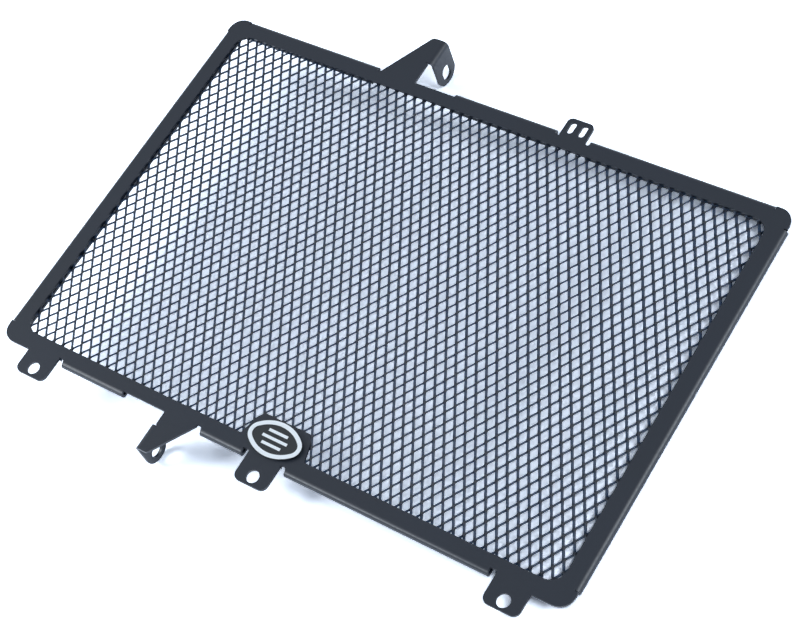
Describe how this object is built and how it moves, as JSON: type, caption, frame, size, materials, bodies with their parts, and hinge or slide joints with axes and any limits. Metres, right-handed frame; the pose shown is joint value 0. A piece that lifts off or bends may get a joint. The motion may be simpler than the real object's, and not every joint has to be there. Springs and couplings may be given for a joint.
{
  "type": "radiator guard",
  "caption": "Flat rectangular guard: expanded metal mesh held in the hems of a folded sheet border with bolt tabs, a slotted tab, two bent bracket arms and a small oval badge.",
  "frame": {"origin": "midway between the two outer ones of the three lower tab holes, on the front face", "axes": "+X along the lower edge, +Y across the guard from the lower tabs to the upper edge, +Z out of the front face"},
  "size_m": [0.3493, 0.2796, 0.0264],
  "materials": {
    "frame": "satin black powder coat on folded aluminium sheet",
    "mesh": "satin black coat on expanded aluminium",
    "badge": "bright satin rim and bars, with a black field between them in the visual"
  },
  "bodies": {
    "root": {"frame": "frame", "mesh": "mesh", "badge": "badge"}
  },
  "joints": []
}
